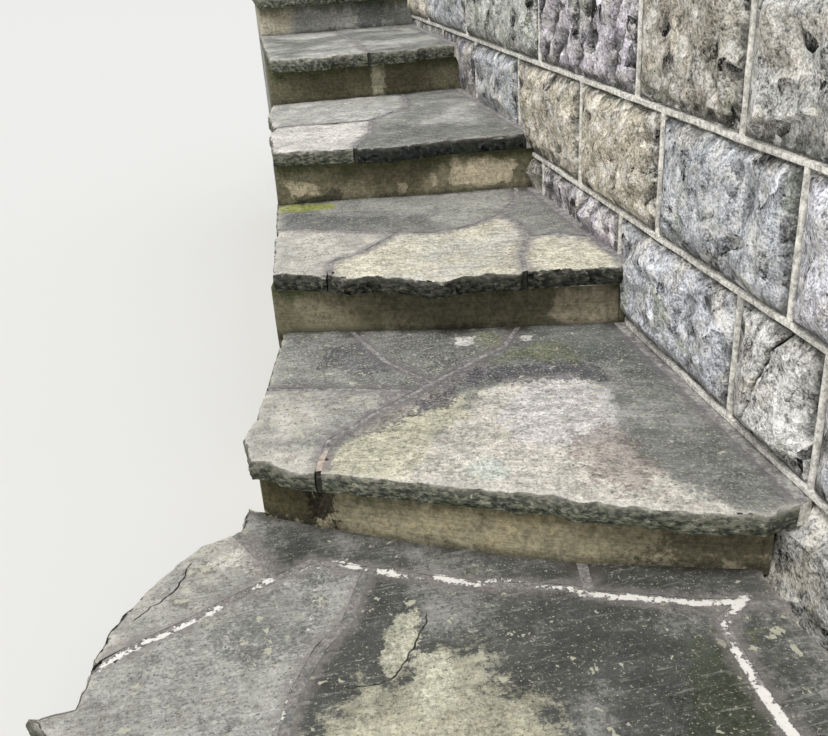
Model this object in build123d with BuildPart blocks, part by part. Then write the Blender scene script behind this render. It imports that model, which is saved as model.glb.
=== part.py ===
from build123d import *
from math import radians, tan
import os

# Flight of flagstone steps against a rock-faced ashlar side wall. Millimetres, +Z up, +Y up the flight,
# +X into the wall. The origin is on the ground at the middle of the whole part.
# Plan points are given as (distance out from the wall, distance past a riser's straight line).

# Levels
rise = 188
slab = 50
joint_recess = 4

# Side wall
wall_length = 5600
wall_thickness = 300
footing_height = 373
course = 304
footing_proud = 60
footing_shoulder = 60
stone_joint = 20
pitch_depth = 10
rock_depth = 14
draft_ledge = 2
pitch_angle = 40
rock_angle = 78
ribbon = 15
ribbon_proud = 7

# Risers, from the first to the plain back of the flight, which ends with the wall
coat = 20
riser_at = (900, 1781, 2590, 3628, 4710, wall_length - coat)
riser_skew = (26.7, 15.1, 8.8, 2.0, 0.5, 0.0)
riser_bow = (60, 10, 8, 6, 6, 0)
flight_width = (1035, 920, 872, 825, 805, 800)
riser_overrun = 65
flank_bend = 150
coat_corner = 12
bed_set_back = 25
trim_past = 60

# Gaps filled with mortar
wall_gap = 30
tread_joint = 14
landing_joint = 22

# Where the upright joints of each wall course stand, along the wall from its near end
course_joints = {
    "wall_course_b": (430, 893, 1199, 1828, 2478, 3100, 3700, 4300, 4950),
    "wall_course_c": (470, 1023, 1602, 2136, 2744, 3343, 3940, 4560, 5130),
    "wall_course_d": (640, 1249, 1752, 2516, 3476, 4250, 4950),
    "wall_course_e": (600, 1400, 2150, 2950, 3700, 4500, 5100),
}
least_stone = 200

# Split nosings of the treads, from the wall outwards
tread_nosings = {
    1: ((0, -20), (35, -50), (105, -100), (220, -115), (350, -120), (390, -114), (425, -125), (460, -106),
        (670, -110), (890, -112), (955, -115), (985, -105), (1005, -82)),
    2: ((0, -20), (35, -62), (60, -70), (285, -85), (302, -100), (380, -95), (445, -105), (500, -138),
        (550, -130), (595, -95), (690, -75), (745, -92), (790, -60), (895, -28)),
    3: ((0, 0), (30, -18), (110, -25), (310, -36), (395, -62), (490, -84), (585, -72), (625, -60),
        (760, -36)),
    4: ((0, 0), (30, -25), (155, -30), (200, -75), (405, -88), (500, -52), (585, -94), (700, -76)),
    5: ((0, 0), (30, -30), (180, -60), (390, -52), (560, -70), (790, -45)),
}
# Left sides of the treads, as (how far proud of the flight's left side, share of the tread's depth)
tread_sides = {
    1: ((4, -0.1), (26, 0.02), (9, 0.12), (-7, 0.42), (-17, 0.75)),
    2: ((18, -0.04), (15, 0.22), (12, 0.47), (8, 0.89)),
    3: ((7, -0.03), (17, 0.28), (-4, 0.38), (24, 0.66), (2, 0.9)),
    4: ((-5, -0.02), (6, 0.46), (9, 0.94)),
    5: ((7, -0.02),),
}
# Joints between the flags of each tread, run on past its edges
tread_joints = {
    1: (((960, -310), (868, 35), (745, 200), (560, 425), (355, 665), (125, 1135)),
        ((1340, 205), (860, 305), (640, 340)),
        ((840, 1050), (680, 510), (585, 395))),
    2: (((1180, 485), (740, 365), (550, 315), (425, 300), (305, 370), (205, 470), (100, 655), (0, 1065)),
        ((545, 312), (665, 140), (765, 60), (835, -260)),
        ((205, 466), (175, 360), (190, 225), (250, 75), (342, -335)),
        ((192, 225), (100, 250), (-100, 130))),
    3: (((1140, 360), (720, 430), (480, 445), (300, 680), (235, 1260)),
        ((482, 443), (525, 190), (600, -5), (630, -215))),
    4: (((412, -230), (395, 500), (453, 1500)),),
    5: (((380, -300), (430, 380), (320, 1810)),),
}
# A spot on each flag, by which it is named
tread_flags = {
    1: {"main": (400, 200), "left_front": (990, 50), "left_back": (860, 480), "back": (540, 600)},
    2: {"middle": (450, 100), "left": (860, 150), "back": (600, 550), "right_front": (110, 60),
        "right_back": (120, 400)},
    3: {"left_front": (740, 150), "left_back": (640, 650), "right": (250, 200)},
    4: {"left": (650, 300), "right": (200, 300)},
    5: {"left": (650, 300), "right": (200, 300)},
}

# Landing in front of the first riser, measured from that riser's line
landing_edge = ((0, -850), (55, -848), (1445, -780), (1481, -745), (1395, -700), (1380, -575), (1335, -435),
                (1260, -290), (1180, -165), (1095, -90), (1060, trim_past), (0, trim_past))
landing_joints = (
    ((1420, -640), (1330, -550), (1220, -445), (1080, -305), (945, -174), (810, -175), (740, -175)),
    ((1130, -60), (1040, -195), (1028, -262)),
    ((740, -175), (625, -172), (440, -145), (410, -155), (235, -143), (148, -127), (40, -105)),
    ((410, -150), (385, 0)),
    ((830, -175), (890, -345), (950, -440), (1010, -580), (1080, -900)),
    ((150, -130), (205, -190), (215, -270), (226, -440), (200, -1000)),
)
landing_flags = {
    "landing_left_flag": (1180, -330),
    "landing_middle_flag": (1150, -620),
    "landing_main_flag": (560, -500),
    "landing_right_flag": (120, -500),
    "landing_left_strip": (700, -60),
    "landing_right_strip": (230, -40),
}

last_riser = len(riser_at)
riser_reach = max(flight_width) + riser_overrun
landing_reach = max(out for out, past in landing_edge)
wall_x = (landing_reach - wall_thickness) / 2
body_depth = wall_thickness - pitch_depth - rock_depth
towards_back_right = Axis((0, 0, 0), (1, 1, 0))
os.makedirs("parts", exist_ok=True)


def at(out, along):
    """Plan point from the distance out from the wall and the distance along it."""
    return (wall_x - out, along - wall_length / 2)


def past_riser(riser, out, past):
    """Plan point past a riser's straight line."""
    return at(out, riser_at[riser - 1] + out * tan(radians(riser_skew[riser - 1])) + past)


def tread_top(step):
    """Height of a tread's upper face: the landing is step 0."""
    return rise * (step + 1)


def riser_line(riser, inset):
    """Bowed plan line of a riser's face, from the wall outwards, set back by inset."""
    bow = riser_bow[riser - 1]
    start = past_riser(riser, 0, inset)
    middle = past_riser(riser, riser_reach / 2, inset - bow)
    end = past_riser(riser, riser_reach, inset)
    return ThreePointArc(start, middle, end) if bow else Line(start, end)


def band(first, first_inset, second, second_inset):
    """Plan outline between two riser lines."""
    near = riser_line(first, first_inset)
    far = riser_line(second, second_inset)
    Line(near @ 0, far @ 0)
    Line(near @ 1, far @ 1)


def flank_outline(inset):
    """Plan outline of the whole flight, its left side set in by inset."""
    side = [past_riser(riser, flight_width[riser - 1] - inset, flank_bend) for riser in range(1, last_riser)]
    front_left = at(flight_width[0] - inset, 0)
    back_left = at(flight_width[-1] - inset, wall_length)
    Polyline(at(0, 0), front_left, *side, back_left, at(0, wall_length), close=True)


def strip(near, far):
    """Plan outline along the whole wall, between two distances out from it."""
    Polyline(at(near, 0), at(far, 0), at(far, wall_length), at(near, wall_length), close=True)


def side_point(step, proud, share):
    """Plan point on a tread's left side, at a share of the tread's depth."""
    width = flight_width[step - 1] + share * (flight_width[step] - flight_width[step - 1])
    depth = riser_at[step] - riser_at[step - 1]
    return past_riser(step, width + proud, share * depth)


def tread_outline(step):
    """Plan outline of a tread, run on past the line behind the next riser's face that trims it."""
    nosing = [past_riser(step, out, past) for out, past in tread_nosings[step]]
    side = [side_point(step, proud, share) for proud, share in tread_sides[step]]
    back_left = past_riser(step + 1, flight_width[step] + coat, trim_past)
    back_right = past_riser(step + 1, 0, trim_past)
    Polyline(*nosing, *side, back_left, back_right, close=True)


def landing_outline():
    """Plan outline of the landing, run on past the line behind the first riser's face that trims it."""
    Polyline(*[past_riser(1, out, past) for out, past in landing_edge], close=True)


def joint_lines(riser, joints, width):
    """Strips of one width along the joints between flags."""
    for joint in joints:
        with BuildLine() as middle:
            Polyline(*[past_riser(riser, out, past) for out, past in joint])
        trace(middle.line, line_width=width)


def footing_section():
    """Cut across the rough footing, which stands proud of the wall below the first tread."""
    face = wall_x - footing_proud
    Polyline((face, 0), (face, footing_height - footing_shoulder), (wall_x, footing_height),
             (wall_x + body_depth, footing_height), (wall_x + body_depth, 0), close=True)


def upright_joints(name):
    """Where a course's upright joints stand, each with room for a whole stone before the wall's far end."""
    return [along for along in course_joints[name] if along < wall_length - least_stone]


def stone_faces(direction, stops, bed, margin):
    """Faces of a row of stones between upright joints, each smaller than its bay by margin."""
    for start, end in zip(stops, stops[1:]):
        middle = (start + end - wall_length) / 2
        with Locations((direction * middle, bed + course / 2)):
            Rectangle(end - start - margin, course - margin)


def finish(piece, name):
    """Label a finished piece and write it to its own file."""
    piece.label = name
    export_step(piece, f"parts/{name}.step")


# Solid of all the steps, used to trim what the wall and its footing show above them
with BuildPart() as flight_mass:
    for step in range(1, last_riser):
        with BuildSketch(Plane.XY):
            with BuildLine():
                band(step, 0, last_riser, coat)
            make_face()
        extrude(amount=tread_top(step))
        with BuildSketch(Plane.XY.offset(tread_top(step) - slab)):
            with BuildLine():
                tread_outline(step)
            make_face()
        extrude(amount=slab)

# Rough footing of the wall
footing_plane = Plane.XZ.offset(wall_length / 2)
with BuildPart() as wall_footing:
    with BuildSketch(footing_plane):
        with BuildLine():
            footing_section()
        make_face()
    extrude(amount=-wall_length)
    with BuildSketch(Plane.XY.offset(tread_top(1) - slab)):
        with BuildLine():
            tread_outline(1)
        make_face()
        with BuildLine():
            band(2, 0, last_riser, coat)
        make_face()
        with BuildLine():
            strip(0, riser_reach)
        make_face(mode=Mode.INTERSECT)
    extrude(amount=slab, mode=Mode.SUBTRACT)
finish(wall_footing.part, "wall_footing")

# Fill behind each riser, up to the underside of its tread
for step in range(1, last_riser):
    with BuildPart() as fill:
        with BuildSketch(Plane.XY):
            with BuildLine():
                band(step, coat, step + 1, coat)
            make_face()
            with BuildLine():
                flank_outline(coat)
            make_face(mode=Mode.INTERSECT)
        extrude(amount=tread_top(step) - slab)
        add(wall_footing.part, mode=Mode.SUBTRACT)
    finish(fill.part, f"step_{step}_fill")

# Cement coat on each riser, turned round the corner and down the left side
for step in range(1, last_riser):
    underside = tread_top(step) - slab
    with BuildPart() as riser_coat:
        with BuildSketch(Plane.XY.offset(tread_top(step - 1))):
            with BuildLine():
                band(step, 0, step, coat)
            make_face()
            with BuildLine():
                flank_outline(0)
            make_face(mode=Mode.INTERSECT)
        extrude(amount=underside - tread_top(step - 1))
        fillet(riser_coat.edges().filter_by(Axis.Z).sort_by(towards_back_right)[0], coat_corner)
        with BuildSketch(Plane.XY):
            with BuildLine():
                band(step, coat, step + 1, coat)
            make_face()
            with BuildLine():
                flank_outline(0)
            make_face(mode=Mode.INTERSECT)
            with BuildLine():
                flank_outline(coat)
            make_face(mode=Mode.SUBTRACT)
        extrude(amount=underside)
        add(wall_footing.part, mode=Mode.SUBTRACT)
    finish(riser_coat.part, f"riser_{step}_coat")

# Treads: the split outline, cut into flags by its joints, with mortar in the joints and along the wall
for step in range(1, last_riser):
    with BuildSketch(Plane.XY.offset(tread_top(step) - slab)) as outline:
        with BuildLine():
            tread_outline(step)
        make_face()
        with BuildLine():
            band(step + 1, coat, last_riser, coat + trim_past)
        make_face(mode=Mode.SUBTRACT)
    with BuildSketch(Plane.XY.offset(tread_top(step) - slab)) as joints:
        joint_lines(step, tread_joints[step], tread_joint)
        with BuildLine():
            strip(0, wall_gap)
        make_face()
    with BuildPart() as flags:
        add(outline.sketch - joints.sketch)
        extrude(amount=slab)
    with BuildPart() as mortar:
        add(outline.sketch & joints.sketch)
        extrude(amount=slab - joint_recess)
    finish(mortar.part, f"tread_{step}_mortar")
    for place, spot in tread_flags[step].items():
        inside = Vector(*past_riser(step, *spot), tread_top(step) - slab / 2)
        with BuildPart() as flag:
            add([piece for piece in flags.solids() if piece.is_inside(inside)])
        finish(flag.part, f"tread_{step}_{place}_flag")

# Landing bed, a rough mass set back under the flags
with BuildPart() as landing_bed:
    with BuildSketch(Plane.XY):
        with BuildLine():
            landing_outline()
        make_face()
        offset(amount=-bed_set_back, kind=Kind.INTERSECTION)
        with BuildLine():
            band(1, coat, last_riser, coat)
        make_face(mode=Mode.SUBTRACT)
    extrude(amount=tread_top(0) - slab)
    add(wall_footing.part, mode=Mode.SUBTRACT)
finish(landing_bed.part, "landing_bed")

# Landing flags and the pointing between them
with BuildSketch(Plane.XY.offset(tread_top(0) - slab)) as outline:
    with BuildLine():
        landing_outline()
    make_face()
    with BuildLine():
        band(1, coat, last_riser, coat)
    make_face(mode=Mode.SUBTRACT)
    with BuildLine():
        strip(0, footing_proud)
    make_face(mode=Mode.SUBTRACT)
with BuildSketch(Plane.XY.offset(tread_top(0) - slab)) as joints:
    joint_lines(1, landing_joints, landing_joint)
with BuildPart() as flags:
    add(outline.sketch - joints.sketch)
    extrude(amount=slab)
with BuildPart() as mortar:
    add(outline.sketch & joints.sketch)
    extrude(amount=slab - joint_recess)
finish(mortar.part, "landing_mortar")
for name, spot in landing_flags.items():
    inside = Vector(*past_riser(1, *spot), tread_top(0) - slab / 2)
    with BuildPart() as flag:
        add([piece for piece in flags.solids() if piece.is_inside(inside)])
    finish(flag.part, name)

# Wall courses: each a row of pitched, rock-faced stones on both faces of one bonded mass
pitch_inset = pitch_depth * tan(radians(pitch_angle))
near_face = Plane(origin=(wall_x, 0, 0), x_dir=(0, -1, 0), z_dir=(-1, 0, 0))
far_face = Plane(origin=(wall_x + body_depth, 0, 0), x_dir=(0, 1, 0), z_dir=(1, 0, 0))
for row, name in enumerate(course_joints):
    bed = footing_height + row * course
    stops = (0, *upright_joints(name), wall_length)
    with BuildPart() as wall_course:
        with BuildSketch(Plane.XY.offset(bed)):
            with BuildLine():
                strip(-body_depth, 0)
            make_face()
        extrude(amount=course)
        for face, direction in ((near_face, -1), (far_face, 1)):
            with BuildSketch(face):
                stone_faces(direction, stops, bed, stone_joint)
            extrude(amount=pitch_depth, taper=pitch_angle)
            with BuildSketch(face.offset(pitch_depth)):
                stone_faces(direction, stops, bed, stone_joint + 2 * (pitch_inset + draft_ledge))
            extrude(amount=rock_depth, taper=rock_angle)
        add(flight_mass.part, mode=Mode.SUBTRACT)
    finish(wall_course.part, name)

# Raised ribbon pointing in the joints of both faces
with BuildPart() as ribbon_pointing:
    for face, direction in ((near_face, -1), (far_face, 1)):
        with BuildSketch(face):
            for row, name in enumerate(course_joints):
                bed = footing_height + row * course
                with Locations((0, bed)):
                    Rectangle(wall_length, ribbon)
                for along in upright_joints(name):
                    with Locations((direction * (along - wall_length / 2), bed + course / 2)):
                        Rectangle(ribbon, course)
        extrude(amount=ribbon_proud)
    add(flight_mass.part, mode=Mode.SUBTRACT)
    add(wall_footing.part, mode=Mode.SUBTRACT)
finish(ribbon_pointing.part, "ribbon_pointing")
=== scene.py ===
from collections import namedtuple
from functools import cache
import itertools
import math

import bmesh
import bpy
import numpy as np
from mathutils import Matrix, Vector
from mathutils.geometry import delaunay_2d_cdt


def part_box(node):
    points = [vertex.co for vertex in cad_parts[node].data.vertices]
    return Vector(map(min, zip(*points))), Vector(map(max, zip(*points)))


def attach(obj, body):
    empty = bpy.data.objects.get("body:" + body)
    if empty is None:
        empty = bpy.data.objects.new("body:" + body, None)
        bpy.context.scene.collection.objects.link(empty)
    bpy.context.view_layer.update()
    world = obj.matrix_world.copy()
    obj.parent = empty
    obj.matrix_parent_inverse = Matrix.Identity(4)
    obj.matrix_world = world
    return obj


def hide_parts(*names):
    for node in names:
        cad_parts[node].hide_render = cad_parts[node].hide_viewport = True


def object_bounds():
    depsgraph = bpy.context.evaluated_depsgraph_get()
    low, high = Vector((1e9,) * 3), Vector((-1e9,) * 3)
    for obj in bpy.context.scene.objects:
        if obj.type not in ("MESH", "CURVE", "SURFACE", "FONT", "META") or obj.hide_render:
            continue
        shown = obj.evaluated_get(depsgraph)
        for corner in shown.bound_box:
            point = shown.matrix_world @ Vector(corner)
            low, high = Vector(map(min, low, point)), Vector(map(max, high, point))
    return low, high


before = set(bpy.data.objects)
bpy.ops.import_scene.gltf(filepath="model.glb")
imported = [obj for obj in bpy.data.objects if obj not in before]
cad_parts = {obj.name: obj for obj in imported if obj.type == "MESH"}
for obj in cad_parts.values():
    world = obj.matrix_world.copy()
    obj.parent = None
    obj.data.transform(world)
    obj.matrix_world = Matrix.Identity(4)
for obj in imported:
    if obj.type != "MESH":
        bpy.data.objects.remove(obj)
cad_low, cad_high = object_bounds()

# Levels and planes of the built steps, in metres
last_step = 5
steps = range(1, last_step + 1)
wall_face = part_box("tread_1_mortar")[1].x
wall_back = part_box("wall_course_e")[1].x
coat = 0.02
courses = ("wall_course_b", "wall_course_c", "wall_course_d", "wall_course_e")
joint_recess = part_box("tread_1_main_flag")[1].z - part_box("tread_1_mortar")[1].z
flags = sorted(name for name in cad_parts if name.endswith(("_flag", "_strip")))

# Grids that the faces are worked on, the wall's close ones up to seen_to along it
edge_spacing = 0.006
outline_spacing = 0.003
patch_spacing = 0.02
bed_spacing = 0.011
joint_spacing = 0.0085
side_spacing = 0.013
near_spacing = 0.0065
far_spacing = 0.013
plain_spacing = 0.02
crack_spacing = 0.0036
mass_spacing = 0.018
block_spacing = 0.042
bead_spacing = 0.02
footing_spacing = 0.0115
station_spacing = 0.0105
buried_spacing = 0.03
seen_to = cad_low.y + 3.2

# The wall's rock faces and its raised pointing
near_proud = 0.046
ribbon_proud = 0.007
wall_far_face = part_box("ribbon_pointing")[1].x - ribbon_proud
far_proud = wall_back - wall_far_face
stone_gap = 0.0095
bed_ribbon = 0.0074
upright_ribbon = 0.0058

# The lowest bed joint stands just clear of the first tread
bed_lift = {"wall_course_b": 0.011}

# How far coats and stones reach down into what they stand on, how far the relief of open sides
# evens out, and how wide the mortar is heaped at the wall
bedded = 0.006
even_reach = 0.02
lump_reach = 0.11
crack_half = 0.0009

# Gaps that count as touching, and a gap for what is nowhere near
touching = 0.002
far_away = 9.0

# Edges sharper than this stay crisp
crease_angle = math.radians(40)

# What lies beyond the edge of a flag
FREE, JOINT, BACK = 0, 1, 2


def tone(red, green, blue):
    """A colour from its screen values, 0 to 255."""
    def level(value):
        share = value / 255
        return share / 12.92 if share < 0.04045 else ((share + 0.055) / 1.055) ** 2.4
    return (level(red), level(green), level(blue), 1.0)


# Colours of the stone, its growths and its mortars
tones = {name: tone(*levels) for name, levels in {
    "pale cream": (221, 215, 203), "pale grey": (202, 200, 193), "warm white": (226, 221, 214),
    "warm cream": (222, 216, 194), "lilac grey": (216, 211, 209), "yellow grey": (224, 219, 190),
    "mid grey": (168, 167, 160), "olive grey": (134, 133, 116), "dark grey": (124, 125, 120),
    "slate": (82, 88, 90), "dark violet": (84, 82, 92), "bright moss": (150, 156, 62),
    "charcoal": (80, 81, 77), "near black": (34, 35, 31), "moss": (138, 142, 74),
    "dark moss": (66, 74, 42), "lichen": (208, 205, 182), "soil": (54, 48, 40),
    "pink mortar": (190, 174, 162), "joint end shade": (58, 58, 52), "mossy brown": (76, 72, 50),
    "purple mortar": (128, 121, 124), "joint grey": (150, 143, 138), "white mortar": (244, 240, 232),
    "ochre": (210, 194, 156), "dark olive": (106, 102, 82), "tan": (204, 190, 164),
    "split green": (72, 78, 70), "grey ochre": (158, 150, 124), "pale stone": (214, 212, 208),
    "light stone": (188, 187, 182), "blue stone": (190, 192, 196), "pale blue stone": (208, 209, 215),
    "purple stone": (200, 193, 201), "green stone": (182, 184, 176), "olive stone": (176, 171, 158),
    "tan stone": (206, 196, 178), "mint": (204, 214, 204), "rosy brown": (150, 132, 126),
    "moss stone": (136, 142, 112), "pale purple stone": (228, 226, 233),
    "dark purple stone": (150, 147, 156), "ribbon": (232, 228, 218), "bedding": (128, 122, 114),
}.items()}


# Repeatable random fields

def hashed(cells, seed):
    """A repeatable number from 0 to 1 for each whole-numbered cell."""
    mask = 0xFFFFFFFF
    mixed = np.full(cells.shape[:-1], seed * 7919 + 1013, np.int64)
    for axis, prime in zip(range(cells.shape[-1]), (374761393, 668265263, 2246822519)):
        mixed = (mixed ^ (cells[..., axis] * prime)) & mask
        mixed = (mixed * 1274126177) & mask
        mixed = mixed ^ (mixed >> 15)
    return mixed / mask


def lumps(points, size, seed):
    """Smooth random field from -1 to 1, with lumps about size across."""
    scaled = points / size
    low = np.floor(scaled).astype(np.int64)
    part = scaled - low
    ease = part * part * (3 - 2 * part)
    total = np.zeros(len(points))
    for corner in itertools.product((0, 1), repeat=points.shape[1]):
        weight = np.prod(np.where(np.array(corner, bool), ease, 1 - ease), axis=1)
        total += weight * hashed(low + np.array(corner), seed)
    return 2 * total - 1


octave_turn = np.array(Matrix.Rotation(0.9, 3, Vector((1, 2, 3))))


def rough(points, size, seed, octaves=4, gain=0.5):
    """Layered random field from about -1 to 1, each layer half the size of the last."""
    if points.shape[1] == 2:
        points = np.column_stack([points, np.zeros(len(points))])
    total = np.zeros(len(points))
    for octave in range(octaves):
        total += gain ** octave * lumps(points, size / 2 ** octave, seed + octave)
        points = points @ octave_turn.T
    return total * (1 - gain) / (1 - gain ** octaves) * 1.4


def chipped(plan, size, seed):
    """Random field from -1 to 1 of flat chips that meet at creases."""
    warp = np.column_stack([rough(plan, size * 1.3, seed + own, 2) for own in (50, 60)])
    points = (plan + 0.3 * size * warp) / size
    x, y = points.T
    skewed = np.column_stack([x - y / math.sqrt(3), y * 2 / math.sqrt(3)])
    low = np.floor(skewed).astype(np.int64)
    part = skewed - low
    upper = part.sum(axis=1) > 1
    shares = np.where(upper[:, None], 1 - part, part)
    third = 1 - shares.sum(axis=1)
    first = np.where(upper[:, None], low + (0, 1), low + (1, 0))
    second = np.where(upper[:, None], low + (1, 0), low + (0, 1))
    corner = np.where(upper[:, None], low + 1, low)
    total = shares[:, 0] * hashed(first, seed) + shares[:, 1] * hashed(second, seed)
    return 2 * (total + third * hashed(corner, seed)) - 1


def ramp(value, end):
    """Rises smoothly from 0 at 0 to 1 at end."""
    share = np.clip(value / end, 0, 1)
    return share * share * (3 - 2 * share)


# Lines and outlines of the built pieces

def on_plan(outline):
    """Plan points from distances in millimetres out from the wall and along it."""
    return np.array(outline) / (-1000, 1000) + (wall_face, cad_low.y)


def on_wall(outline):
    """Places along and up the wall's face from distances in millimetres."""
    return np.array(outline) / 1000 + (cad_low.y, 0)


def top_of(node):
    """Height of a built piece's top."""
    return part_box(node)[1].z


def top_loops(node):
    """Outlines of a piece's level top, each a closed loop with the piece on its left."""
    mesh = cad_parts[node].data
    top = top_of(node)
    ahead = {}
    for face in mesh.polygons:
        if face.normal.z > 0.99 and face.center.z > top - 0.0005:
            corners = [tuple(round(c, 5) for c in mesh.vertices[v].co[:2]) for v in face.vertices]
            for start, end in zip(corners, corners[1:] + corners[:1]):
                if ahead.get((end, start)):
                    del ahead[(end, start)]
                else:
                    ahead[(start, end)] = True
    following = {start: end for start, end in ahead}
    loops = []
    while following:
        start = next(iter(following))
        loop = [start]
        while following[loop[-1]] != start:
            loop.append(following.pop(loop[-1]))
        following.pop(loop[-1])
        loops.append(np.array(loop))
    return loops


def spaced(loop, spacing, closed=True):
    """The same line with points no further apart than spacing."""
    ends = np.roll(loop, -1, axis=0) if closed else loop[1:]
    starts = loop if closed else loop[:-1]
    parts = []
    for start, end in zip(starts, ends):
        count = max(1, math.ceil(np.hypot(*(end - start)) / spacing))
        parts.append(start + (end - start) * np.arange(count)[:, None] / count)
    if not closed:
        parts.append(loop[-1:])
    return np.concatenate(parts)


def rings_of(node, spacing=edge_spacing):
    """Outlines of a piece's top with points no further apart than spacing."""
    return [spaced(loop, spacing) for loop in top_loops(node)]


def at_level(plan, level):
    """Plan points put at a height."""
    return np.column_stack([plan, np.full(len(plan), level)])


def crooked(line, size, seed, reach):
    """A crack's line with close points that stray to both sides."""
    line = spaced(line, 0.004, closed=False)
    return line + np.column_stack([lumps(line, size, seed), lumps(line, size, seed + 1)]) * reach


def outward(loop, closed=True):
    """Unit directions away from the piece along its outline."""
    if closed:
        run = np.roll(loop, -1, axis=0) - np.roll(loop, 1, axis=0)
    else:
        run = np.gradient(loop, axis=0)
    side = np.column_stack([run[:, 1], -run[:, 0]])
    return side / np.maximum(np.hypot(side[:, 0], side[:, 1]), 1e-9)[:, None]


def within(loop, points):
    """Which plan points lie inside a closed loop."""
    ahead = np.roll(loop, -1, axis=0)
    x, y = points[:, :1], points[:, 1:]
    crossing = (loop[:, 1] > y) != (ahead[:, 1] > y)
    height = np.where(ahead[:, 1] == loop[:, 1], 1, ahead[:, 1] - loop[:, 1])
    reach = (ahead[:, 0] - loop[:, 0]) * (y - loop[:, 1]) / height + loop[:, 0]
    return (crossing & (x < reach)).sum(axis=1) % 2 == 1


def nearest(points, targets):
    """Distance from each plan point to its nearest target, and which target that is."""
    if len(targets) == 0:
        return np.full(len(points), far_away), np.zeros(len(points), int)
    gaps = np.empty(len(points))
    which = np.empty(len(points), int)
    batch = 2000
    for start in range(0, len(points), batch):
        part = slice(start, start + batch)
        spread = np.hypot(points[part, :1] - targets[:, 0], points[part, 1:] - targets[:, 1])
        which[part] = spread.argmin(axis=1)
        gaps[part] = spread.min(axis=1)
    return gaps, which


def outside(loop, points):
    """How far each plan point lies outside a closed loop; less than 0 is inside."""
    gap = nearest(points, loop)[0]
    return np.where(within(loop, points), -gap, gap)


def inside_points(loops, edge, spacing, seed):
    """A jittered honeycomb of plan points that fills the loops."""
    low, high = edge.min(axis=0), edge.max(axis=0)
    rows = np.arange(low[1], high[1], spacing * 0.87)
    columns = np.arange(low[0], high[0], spacing)
    grid_x, grid_y = np.meshgrid(columns, rows)
    grid_x = grid_x + (np.arange(len(rows)) % 2)[:, None] * spacing / 2
    points = np.column_stack([grid_x.ravel(), grid_y.ravel()])
    points = points + np.random.default_rng(seed).uniform(-0.15, 0.15, points.shape) * spacing
    covered = np.zeros(len(points), bool)
    for loop in loops:
        covered ^= within(loop, points)
    points = points[covered]
    return points[nearest(points, edge)[0] > spacing * 0.6]


def plan_triangles(loops, rings, extra):
    """Triangles over the loops, with corners numbered along the rings and then the extra points."""
    points = np.concatenate([*rings, extra])
    borders = []
    start = 0
    for ring in rings:
        count = len(ring)
        borders += [(start + i, start + (i + 1) % count) for i in range(count)]
        start += count
    result = delaunay_2d_cdt([Vector(point) for point in points], borders, [], 0, 1e-7)
    triangles = np.array([face for face in result[2] if len(face) == 3])
    source = np.array([origin[0] if origin else 0 for origin in result[3]])
    triangles = source[triangles]
    centres = points[triangles].mean(axis=1)
    covered = np.zeros(len(centres), bool)
    for loop in loops:
        covered ^= within(loop, centres)
    return triangles[covered]


def grid_faces(rows, columns, wrap=False):
    """Quads over a grid of points numbered row after row; wrap joins each row's end to its start."""
    index = np.arange(rows * columns).reshape(rows, columns)
    if wrap:
        index = np.concatenate([index, index[:, :1]], axis=1)
    corners = [index[:-1, :-1], index[:-1, 1:], index[1:, 1:], index[1:, :-1]]
    return np.stack(corners, axis=-1).reshape(-1, 4)


def tube_faces(rings, width):
    """Faces of a closed bar whose points run ring after ring: its sides and its two ends."""
    last = (rings - 1) * width
    return [grid_faces(rings, width, wrap=True), [list(range(width))],
            [list(range(last, last + width))[::-1]]]


def placed(name, data):
    """A new object in the scene."""
    made = bpy.data.objects.new(name, data)
    bpy.context.scene.collection.objects.link(made)
    return made


class Shell:
    """Points, faces and painted marks of one piece, gathered from closed surfaces."""

    def __init__(self, name):
        self.name = name
        self.points = []
        self.faces = []
        self.marks = []
        self.size = 0

    def add(self, points, faces, **marks):
        """Take in one surface: faces as groups of corner numbers, marks as one value, or one a point."""
        for group in faces:
            self.faces += [[corner + self.size for corner in face] for face in np.asarray(group).tolist()]
        self.points.append(points)
        self.marks.append({mark: np.reshape(value, (-1, 1)) if np.size(value) == len(points)
                           else np.tile(value, (len(points), 1)) for mark, value in marks.items()})
        self.size += len(points)

    def paint(self, mesh):
        """Write the marks to the mesh; a surface without a mark gets 0."""
        for mark in sorted({mark for marks in self.marks for mark in marks}):
            width = max(marks[mark].shape[1] for marks in self.marks if mark in marks)
            values = [marks.get(mark, np.zeros((len(points), width)))
                      for marks, points in zip(self.marks, self.points)]
            layer = mesh.attributes.new(mark, "FLOAT_COLOR" if width == 4 else "FLOAT", "POINT")
            layer.data.foreach_set("color" if width == 4 else "value", np.concatenate(values).ravel())

    def piece(self, node_names, finish):
        """Make the piece, which stands for the built nodes and takes their place."""
        points = np.clip(np.concatenate(self.points), np.array(cad_low), np.array(cad_high))
        mesh = bpy.data.meshes.new(self.name)
        mesh.from_pydata(points.tolist(), [], self.faces)
        self.paint(mesh)
        shape = bmesh.new()
        shape.from_mesh(mesh)
        bmesh.ops.recalc_face_normals(shape, faces=shape.faces)
        shape.to_mesh(mesh)
        shape.free()
        made = placed(self.name, mesh)
        mesh.materials.append(finish)
        mesh.shade_smooth()
        mesh.set_sharp_from_angle(angle=crease_angle)
        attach(made, "root")
        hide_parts(*node_names)
        return made


# Materials

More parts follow.
